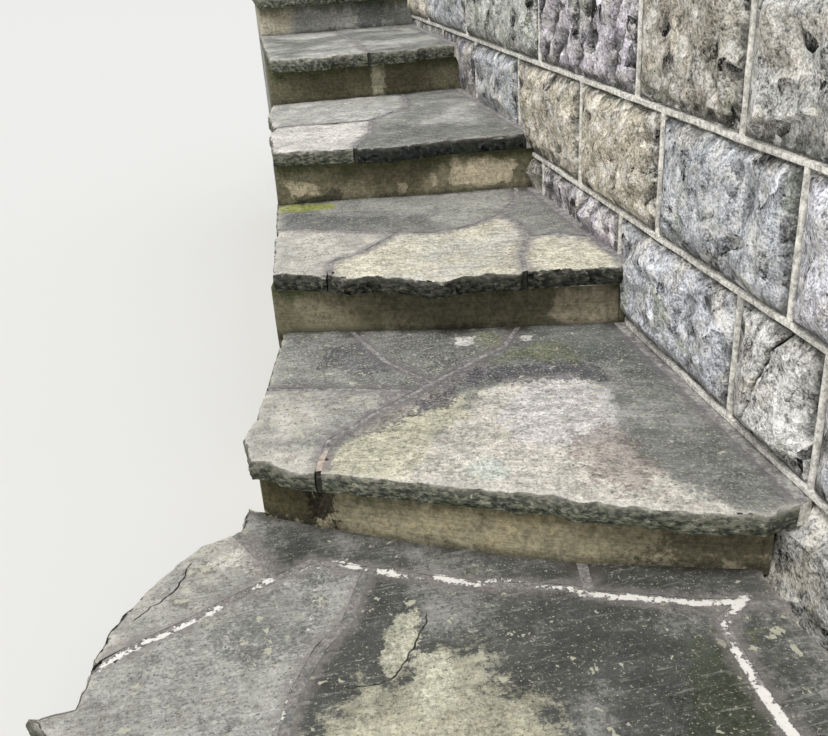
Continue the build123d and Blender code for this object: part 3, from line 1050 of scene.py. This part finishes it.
def coat_piece(step):
    """The cement coat of a riser, round its corner and down the left side."""
    node = f"riser_{step}_coat"
    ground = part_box(node)[0].z
    paving = top_of("landing_main_flag" if step == 1 else f"tread_{step - 1}_mortar")
    loop = rings_of(node)[0]
    core = rings_of(f"step_{step}_fill")[0]
    outer = nearest(loop, core)[0] > coat * 0.5
    first = int(np.argmax(outer & ~np.roll(outer, 1)))
    path = np.roll(loop, -first, axis=0)[:int(outer.sum())]
    away = outward(path, closed=False)
    if path[0, 0] < path[-1, 0]:
        path, away = path[::-1], away[::-1]
    corner = int(np.argmax(-path[:, 0] - path[:, 1])) + 5
    shell = Shell(node + "_render")
    coat_panel(shell, step, path[:corner + 1], away[:corner + 1], paving - bedded, paving, edge_spacing)
    coat_panel(shell, step, path[corner::2], away[corner::2], ground, ground, side_spacing)
    return shell.piece([node], coat_finish(step))


# Stones of the wall, named by colour from the near end
stone_tones = {
    "wall_course_b": ("blue stone", "pale blue stone", "pale stone", "pale blue stone", "purple stone",
                      "olive stone", "blue stone", "green stone", "pale stone", "blue stone"),
    "wall_course_c": ("pale stone", "pale purple stone", "blue stone", "tan stone", "tan stone",
                      "blue stone", "dark purple stone", "green stone", "purple stone", "pale stone"),
    "wall_course_d": ("green stone", "light stone", "olive stone", "purple stone", "green stone",
                      "blue stone", "tan stone", "pale stone"),
    "wall_course_e": ("blue stone", "purple stone", "pale stone", "green stone", "tan stone",
                      "blue stone", "pale stone", "purple stone"),
}

# Cracks and hollows of the rock faces, along the wall and up it
wall_cracks = {
    "wall_course_b": (
        (990, 690), (1022, 638), (1061, 563), (1075, 521), (1078, 492), (1102, 433), (1108, 392)),
    "wall_course_d": ((1176, 1262), (1206, 1213), (1212, 1169), (1232, 1120)),
}
wall_hollows = {
    "wall_course_c": (
        ((1569, 800), (1516, 788), (1473, 728), (1384, 720), (1476, 701), (1554, 738)),
        ((1258, 771), (1239, 790), (1185, 802), (1169, 789), (1206, 760))),
    "wall_course_d": (
        ((1202, 1022), (1143, 1041), (1081, 1047), (1020, 1070), (966, 1066), (951, 998),
         (1089, 998), (1183, 999)),
        ((1693, 1004), (1672, 1023), (1519, 1016), (1406, 1027), (1311, 1018), (1236, 1016),
         (1232, 993), (1400, 993)),
        ((2444, 986), (2404, 1001), (2162, 1013), (1954, 1006), (1739, 1019), (1732, 996),
         (1953, 985), (2206, 985))),
}


def upright_joints(course):
    """Where the stones of a course part, read from the rock faces at the wall's back."""
    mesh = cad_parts[course].data
    peaks = sorted({round(v.co.y, 4) for v in mesh.vertices if v.co.x > wall_back - 0.0002})
    starts, ends = peaks[0::2], peaks[1::2]
    inner = [(end + start) / 2 for end, start in zip(ends[:-1], starts[1:])]
    return [cad_low.y, *inner, cad_high.y]


@cache
def tread_fronts():
    """Where each tread begins along the wall."""
    fronts = {}
    for step in steps:
        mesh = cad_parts[f"tread_{step}_mortar"].data
        fronts[step] = min(v.co.y for v in mesh.vertices if v.co.x > wall_face - 0.001)
    return fronts


def flight_top(y):
    """Height of the treads where they meet the wall, along it."""
    level = np.full(len(y), top_of("landing_main_flag"))
    for step, front in tread_fronts().items():
        level = np.where(y > front, top_of(f"tread_{step}_mortar"), level)
    return level


def crack_depth(course, plan):
    """How far into its crack each (along, up) point of a course lies, 0 to 1."""
    if course not in wall_cracks:
        return np.zeros(len(plan))
    line = spaced(crooked(on_wall(wall_cracks[course]), 0.03, 3, 0.005), 0.001, closed=False)
    return np.exp(-(nearest(plan, line)[0] / 0.0034) ** 2)


def hollow_depth(course, plan):
    """How far into a hollow each (along, up) point of a course lies, 0 to 1."""
    depth = np.zeros(len(plan))
    for outline in wall_hollows.get(course, ()):
        inside = rough(plan, 0.04, 91, 3) * 0.008 - outside(spaced(on_wall(outline), patch_spacing), plan)
        depth = np.maximum(depth, ramp(inside, 0.009))
    return depth


def graded(start, end, step):
    """Grid lines across a stone, closer together near both ends."""
    margin = np.array((0, 0.0015, 0.004, 0.007, 0.011, 0.016, 0.022))
    count = max(2, math.ceil((end - start - 2 * margin[-1]) / step))
    middle = np.linspace(start + margin[-1], end - margin[-1], count + 1)
    return np.concatenate([start + margin[:-1], middle, end - margin[-2::-1]])


stroke_turn = np.array(((1, -0.4), (0.4, 1))) / math.hypot(1, 0.4)


def rock_face(along, up, seed, proud, tooled):
    """Grid of a rock-faced stone: how far it stands out over its along and up lines."""
    grid_a, grid_u = np.meshgrid(along, up, indexing="ij")
    plan = np.column_stack([grid_a.ravel(), grid_u.ravel()])
    ends = np.minimum(plan[:, 0] - along[0], along[-1] - plan[:, 0])
    beds = np.minimum(plan[:, 1] - up[0], up[-1] - plan[:, 1])
    edge = np.minimum(ends, beds)
    turn = np.random.default_rng(seed).uniform(0.2, 1.2)
    across = plan @ np.array(((math.cos(turn), -math.sin(turn)), (math.sin(turn), math.cos(turn))))
    slanted = across * (1, 0.5)
    broad = chipped(plan, 0.24, seed) * 0.5 + chipped(slanted, 0.12, seed + 4) * 0.5
    creases = 0.25 - np.abs(chipped(slanted, 0.1, seed + 5))
    creases = creases - np.abs(chipped(plan, 0.045, seed + 7)) * 0.5
    fine = rough(plan, 0.02, seed + 6, 2) * 0.05 + chipped(slanted, 0.026, seed + 8) * 0.1
    body = (0.62 + 0.55 * broad + 0.4 * creases + fine).clip(0.02, 1.1)
    foot = plan[:, 1] - up[0] + rough(plan, 0.12, seed + 14, 3) * 0.035
    body = body * (0.45 + 0.55 * ramp(foot - 0.012, 0.02))
    strokes = rough(plan @ stroke_turn * (1, 0.28), 0.028, seed + 2, 3)
    body = body - tooled * ramp(strokes - 0.1, 0.5)
    pitched = ramp(edge, 0.011 + 0.004 * rough(plan, 0.05, seed + 8, 2))
    limit = 0.005 + 0.45 * np.minimum(ends, beds * 1.6)
    out = np.minimum(proud * pitched * (0.12 + 0.88 * body), limit * (0.6 + 0.4 * body) * pitched)
    shift = np.column_stack([rough(plan, 0.06, seed + own, 3) for own in (10, 12)])
    plan = plan + shift * (0.003 * (1 - ramp(edge, 0.03)))[:, None]
    return plan, np.where(edge < 0.0005, -0.003, out.clip(0.0005, proud))


def stone_spacing(course, start, end, near):
    """Spacing of a stone's grid: close where it is well seen or cracked."""
    if not near:
        return plain_spacing
    if course in wall_cracks and start < on_wall(wall_cracks[course])[:, 0].mean() < end:
        return crack_spacing
    return near_spacing if start < seen_to and course != courses[-1] else far_spacing


def stone(shell, course, number, start, end, near, seed):
    """One rock-faced stone of a course, on the wall's near or far face."""
    low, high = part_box(course)
    shade = stone_tones[course][number]
    step = stone_spacing(course, start, end, near)
    along = graded(start + stone_gap, end - stone_gap, step)
    up = graded(low.z + bed_lift.get(course, 0) * near + stone_gap, high.z - stone_gap, step)
    proud = near_proud if near else far_proud
    plan, out = rock_face(along, up, seed + (0 if near else 500), proud, 0.4 * (shade == "purple stone"))
    hollow = hollow_depth(course, plan) * near
    crack = crack_depth(course, plan) * near
    # rise: how far the face stands out, less in the hollows; the wall's finish paints shade where it is
    # low
    rise = out * (1 - 0.25 * hollow) / proud
    out = out * (1 - 0.75 * hollow)
    if near:
        above = plan[:, 1] - flight_top(plan[:, 0])
        out = out * (0.2 + 0.8 * ramp(above, 0.07))
        out = np.maximum(out - 0.02 * crack, np.minimum(out, 0.0005))
        out = np.where(above < -bedded, -0.002, out)
    rows, columns = len(along), len(up)
    index = np.arange(rows * columns).reshape(rows, columns)
    rim = np.concatenate([index[0, :], index[1:, -1], index[-1, -2::-1], index[-2:0:-1, 0]])
    points = np.column_stack([wall_face - out if near else wall_far_face + out, plan])
    shell.add(points, [grid_faces(rows, columns), [rim[::-1].tolist()]], tint=tones[shade], rise=rise,
              crack=crack, hue=number * 0.37 % 1, plain=0.0 if near else 0.5)


def course_piece(course, seed):
    """One course of the wall: its bonded mass and a row of rock-faced stones on each face."""
    low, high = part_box(course)
    shell = Shell(course + "_stones")
    block(shell, (wall_face, cad_low.y, low.z), (wall_far_face, cad_high.y, high.z), seed)
    stops = upright_joints(course)
    for number, (start, end) in enumerate(zip(stops, stops[1:])):
        for near in (True, False):
            stone(shell, course, number, start, end, near, seed + number * 7)
    return shell.piece([course], wall_finish(course))


def block(shell, low, high, seed):
    """The closed mass behind the stones, its top and ends dressed a little rough."""
    lines = [np.linspace(a, b, max(2, math.ceil((b - a) / block_spacing) + 1)) for a, b in zip(low, high)]
    for axis in range(3):
        others = [other for other in range(3) if other != axis]
        grid = np.meshgrid(*(lines[other] for other in others), indexing="ij")
        for end, side in ((low[axis], 1), (high[axis], -1)):
            points = np.empty((grid[0].size, 3))
            points[:, others] = np.column_stack([line.ravel() for line in grid])
            edge = np.min([np.minimum(points[:, other] - low[other], high[other] - points[:, other])
                           for other in others], axis=0)
            worn = (rough(points[:, others], 0.08, seed + axis, 3) + 1).clip(0, 2) * 0.003
            points[:, axis] = end + side * worn * ramp(edge, 0.03)
            shell.add(points, [grid_faces(*grid[0].shape)], tint=tones["bedding"], rise=1.2, hue=0.5,
                      plain=0.9)


def wall_finish(name):
    """Rock-faced sandstone, each stone in its own colour, with painted shade in its hollows and painted
    light on its crests.
    """
    finish = Finish(name + "_stone")
    shifted = finish.place + finish.mark("hue") * 3.7
    broad = finish.noise(6.0, 4.0, 0.6, shifted, 0.6)
    mottle = finish.noise(22.0, 6.0, 0.62, shifted)
    specks = finish.noise(105.0, 3.0, 0.6, shifted)
    grains = finish.noise(210.0, 2.0, 0.6, shifted)
    carved = 1.0 - finish.mark("plain")
    large = finish.chips(15.0) * carved
    small = finish.chips(42.0) * carved
    # stain_and_shade: charcoal laid where the face stands back and on the low side of the big chips,
    # which is painted shade, mixed with random stain
    stain_and_shade = (finish.mark("rise") * 0.9 + mottle * 0.7 + large * 0.5).ease(0.76, 0.36)
    colour = finish.lay(
        finish.mark("tint", "Color"),
        ("pale stone", mottle.ease(0.45, 0.6) * 0.45),
        ("tan stone", broad.ease(0.54, 0.64) * 0.45),
        ("moss stone", broad.ease(0.44, 0.34) * 0.6),
        ("charcoal", stain_and_shade * 0.85))
    # The level is fine grain with painted light and shade: each chip is painted lighter on its raised
    # side and darker on its low side
    light = specks.ease(0.36, 0.64) * 0.6 + grains.ease(0.36, 0.64) * 0.4 + mottle.ease(0.4, 0.6) * 0.2 \
        + small * 1.3 + large * 1.7 + 0.48
    colour = finish.lay(
        finish.shade(colour, light),
        ("near black", (specks * 0.6 + grains * 0.4).ease(0.38, 0.3) * 0.55),
        ("white mortar", (specks * 0.3 + mottle * 0.7).ease(0.54, 0.62) * 0.55),
        ("near black", finish.mark("crack").ease(0.15, 0.6)))
    height = mottle * 0.35 + specks * 0.16 + grains * 0.05 + large * 1.5 + small * 0.8
    return finish.done(colour, 0.88 + specks * 0.08, height, 0.03)


# A bead's section: shares of its half width across, and of its height out
bead_section = ((-1.05, -0.5), (-0.98, 0.6), (-0.7, 0.95), (0.0, 1.0), (0.7, 0.95), (0.98, 0.6),
                (1.05, -0.5))


def bead(shell, start, end, face, side, half, seed):
    """One length of raised ribbon pointing between two (along, up) points of a wall face."""
    start, end = np.array(start), np.array(end)
    run = end - start
    length = np.hypot(*run)
    run = run / length
    across = np.array((-run[1], run[0]))
    count = max(3, math.ceil(length / bead_spacing) + 1)
    middle = start + run * np.linspace(0, length, count)[:, None]
    sway = rough(middle, 0.12, seed, 3) * 0.0015
    width = half * (1 + 0.12 * rough(middle, 0.06, seed + 3, 3))
    height = ribbon_proud * (1 + 0.15 * rough(middle, 0.05, seed + 6, 3))
    rows = []
    for offset, rise in bead_section:
        plan = middle + across * (sway + width * offset)[:, None]
        rows.append(np.column_stack([face + side * height * rise, plan]))
    shell.add(np.stack(rows, axis=1).reshape(-1, 3), tube_faces(count, len(bead_section)))


def ribbon_piece():
    """Raised ribbon pointing along the beds and up the joints of both faces."""
    shell = Shell("ribbon_pointing_beads")
    ends = np.linspace(cad_low.y, cad_high.y, 600)
    for number, course in enumerate(courses):
        low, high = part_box(course)
        bed = low.z + bed_lift.get(course, 0)
        seen = ends[flight_top(ends) < bed - 0.004]
        if len(seen):
            bead(shell, (cad_low.y, bed), (seen[-1], bed), wall_face, -1, bed_ribbon, number)
        bead(shell, (cad_low.y, low.z), (cad_high.y, low.z), wall_far_face, 1, bed_ribbon, number + 20)
        for index, along in enumerate(upright_joints(course)[1:-1]):
            seed = number * 20 + index
            head = (along, high.z - 0.005)
            start = max(bed + 0.005, float(flight_top(np.array([along]))[0]) - 0.004)
            if start < high.z - 0.02:
                bead(shell, (along, start), head, wall_face, -1, upright_ribbon, seed + 40)
            bead(shell, (along, low.z + 0.005), head, wall_far_face, 1, upright_ribbon, seed + 200)
    finish = mortar_finish("ribbon", "ribbon", "pale grey", "ribbon", 0.003)
    return shell.piece(["ribbon_pointing"], finish)


def footing_piece():
    """The rough rock footing that the wall stands on."""
    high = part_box("wall_footing")[1]
    shoulder = 0.06
    deepest = 0.045
    near, far = wall_face - shoulder, float(high.x)
    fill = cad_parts["step_1_fill"].data
    covered = float(np.min([v.co.y for v in fill.vertices if v.co.x > near - 0.03]))
    section = ((near, 0), (far, 0), (far, high.z), (wall_face, high.z), (near, high.z - shoulder))
    section = spaced(np.array(section), footing_spacing)
    stations = np.concatenate([np.arange(cad_low.y, covered + 0.1, station_spacing),
                               np.arange(covered + 0.1, cad_high.y, buried_spacing), [cad_high.y]])
    count = len(section)
    across, up = np.tile(section, (len(stations), 1)).T
    along = np.repeat(stations, count)
    flat = np.column_stack([across, along, up])
    plan = np.column_stack([along, up + across])
    back = (0.5 + 0.55 * chipped(plan, 0.15, 5) + 0.25 * chipped(plan, 0.06, 6)) * 0.03
    back += rough(flat, 0.03, 8, 3) * 0.004
    back = np.where((across > wall_face) | (up < 0.001), 0.0, back.clip(0, deepest))
    far_side = (across > far - 0.001) & (up > 0.001) & (up < high.z - 0.001)
    back = np.where(far_side, (0.009 + 0.009 * chipped(plan, 0.09, 15)).clip(0, 0.02), back)
    side = np.tile(outward(section), (len(stations), 1))
    flat[:, [0, 2]] -= side * back[:, None]
    buried = (along > covered) & (flat[:, 0] < wall_face)
    flat[buried, 0] = wall_face - 0.001
    shell = Shell("wall_footing_rock")
    # rise: how far the rock stands out; the wall's finish paints shade where it is low
    shell.add(flat, tube_faces(len(stations), count), tint=tones["mid grey"],
              rise=1 - back / deepest, hue=0.0)
    return shell.piece(["wall_footing"], wall_finish("wall_footing"))


def rubble_depth(points, seed):
    """How far random rubble set in mortar stands back: rounded stones with sunk joints."""
    return 0.012 - 0.011 * chipped(points[:, [1, 2]] + points[:, [0, 0]], 0.07, seed) \
        + rough(points, 0.03, seed + 2, 3) * 0.003


def mass_piece(node, seed, finish):
    """A rubble mass whose sides show: a worked skin all round, plain top and base."""
    low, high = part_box(node)
    loops = top_loops(node)
    ring = spaced(loops[0], mass_spacing)
    away = outward(ring)
    levels = np.linspace(low.z, high.z, max(3, math.ceil((high.z - low.z) / mass_spacing)))
    rows = []
    for level in levels:
        back = rubble_depth(at_level(ring, level), seed).clip(0.001, 0.03)
        rows.append(at_level(ring - away * back[:, None], level))
    cap = plan_triangles(loops[:1], [ring], np.zeros((0, 2)))
    count = len(ring)
    faces = [grid_faces(len(levels), count, wrap=True), cap[:, ::-1], cap + (len(levels) - 1) * count]
    shell = Shell(node + "_rubble")
    shell.add(np.concatenate(rows), faces)
    return shell.piece([node], finish)


def rubble_finish():
    """Dark rubble and earthy mortar."""
    finish = Finish("fill_rubble")
    mottle = finish.noise(18.0, 7.0, 0.7)
    grain = finish.noise(200.0, 3.0, 0.7)
    colour = finish.lay(tones["mid grey"], ("dark olive", mottle.ease(0.25, 0.75)),
                        ("soil", grain.ease(0.5, 0.35) * 0.5))
    return finish.done(colour, 0.9 + grain * 0.08, mottle * 0.6 + grain * 0.4, 0.008)


# The pieces
for number, flag in enumerate(flags):
    flag_piece(flag, number * 13 + 3)
tread_pointing = mortar_finish("tread", "purple mortar", "mid grey")
for step in steps:
    joint_piece(f"tread_{step}_mortar", step * 17, tread_pointing)
landing_pointing = mortar_finish("landing", "joint grey", "dark grey")
joint_piece("landing_mortar", 90, landing_pointing)
for step in steps:
    coat_piece(step)
for number, course in enumerate(courses):
    course_piece(course, number * 101 + 11)
ribbon_piece()
footing_piece()
rubble = rubble_finish()
mass_piece("landing_bed", 7, rubble)
mass_piece(f"step_{last_step}_fill", 23, rubble)
for step in steps[:-1]:
    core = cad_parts[f"step_{step}_fill"]
    core.data.materials.clear()
    core.data.materials.append(rubble)


# Floor, light and camera

def studio():
    """A pale floor under soft light."""
    mesh = bpy.data.meshes.new("floor")
    reach = 100
    corners = [(-reach, -reach, 0), (reach, -reach, 0), (reach, reach, 0), (-reach, reach, 0)]
    mesh.from_pydata(corners, [], [(0, 1, 2, 3)])
    floor = placed("floor", mesh)
    floor.location.z = -0.0005
    paint = Finish("floor")
    paint.feed(paint.shader.inputs["Base Color"], tone(226, 225, 222))
    paint.feed(paint.shader.inputs["Roughness"], 0.9)
    mesh.materials.append(paint.material)

    world = bpy.data.worlds.new("sky")
    world.use_nodes = True
    bpy.context.scene.world = world
    nodes, links = world.node_tree.nodes, world.node_tree.links
    sky = nodes["Background"]
    sky.inputs["Strength"].default_value = 0.5
    sky.inputs["Color"].default_value = (0.96, 0.98, 1.0, 1.0)
    white = nodes.new("ShaderNodeBackground")
    white.inputs["Color"].default_value = (1.0, 1.0, 1.0, 1.0)
    chooser = nodes.new("ShaderNodeMixShader")
    ray = nodes.new("ShaderNodeLightPath")
    links.new(ray.outputs["Is Camera Ray"], chooser.inputs[0])
    links.new(sky.outputs[0], chooser.inputs[1])
    links.new(white.outputs[0], chooser.inputs[2])
    links.new(chooser.outputs[0], nodes["World Output"].inputs[0])

    lamp = bpy.data.lights.new("key", "SUN")
    lamp.energy = 2.42
    lamp.angle = math.radians(25)
    placed("key", lamp).rotation_euler = (math.radians(22), math.radians(-23), 0)


def photographer():
    """The camera, solved from the wall's level beds and plumb joints."""
    heading, tilt, roll = (math.radians(degrees) for degrees in (9.1746, 25.613, 4.0407))
    stand = (wall_face - 0.95, cad_low.y - 0.4, 1.388)
    view_depth, view_width = 909.09, 828
    lens = bpy.data.cameras.new("camera")
    lens.sensor_width = 36
    lens.lens = view_depth / view_width * lens.sensor_width
    lens.clip_start = 0.05
    camera = placed("camera", lens)
    turn = Matrix.Rotation(-heading, 4, "Z") @ Matrix.Rotation(math.pi / 2 - tilt, 4, "X")
    camera.matrix_world = Matrix.Translation(stand) @ turn @ Matrix.Rotation(-roll, 4, "Z")
    bpy.context.scene.camera = camera


studio()
photographer()
bpy.context.scene.view_settings.view_transform = "Standard"
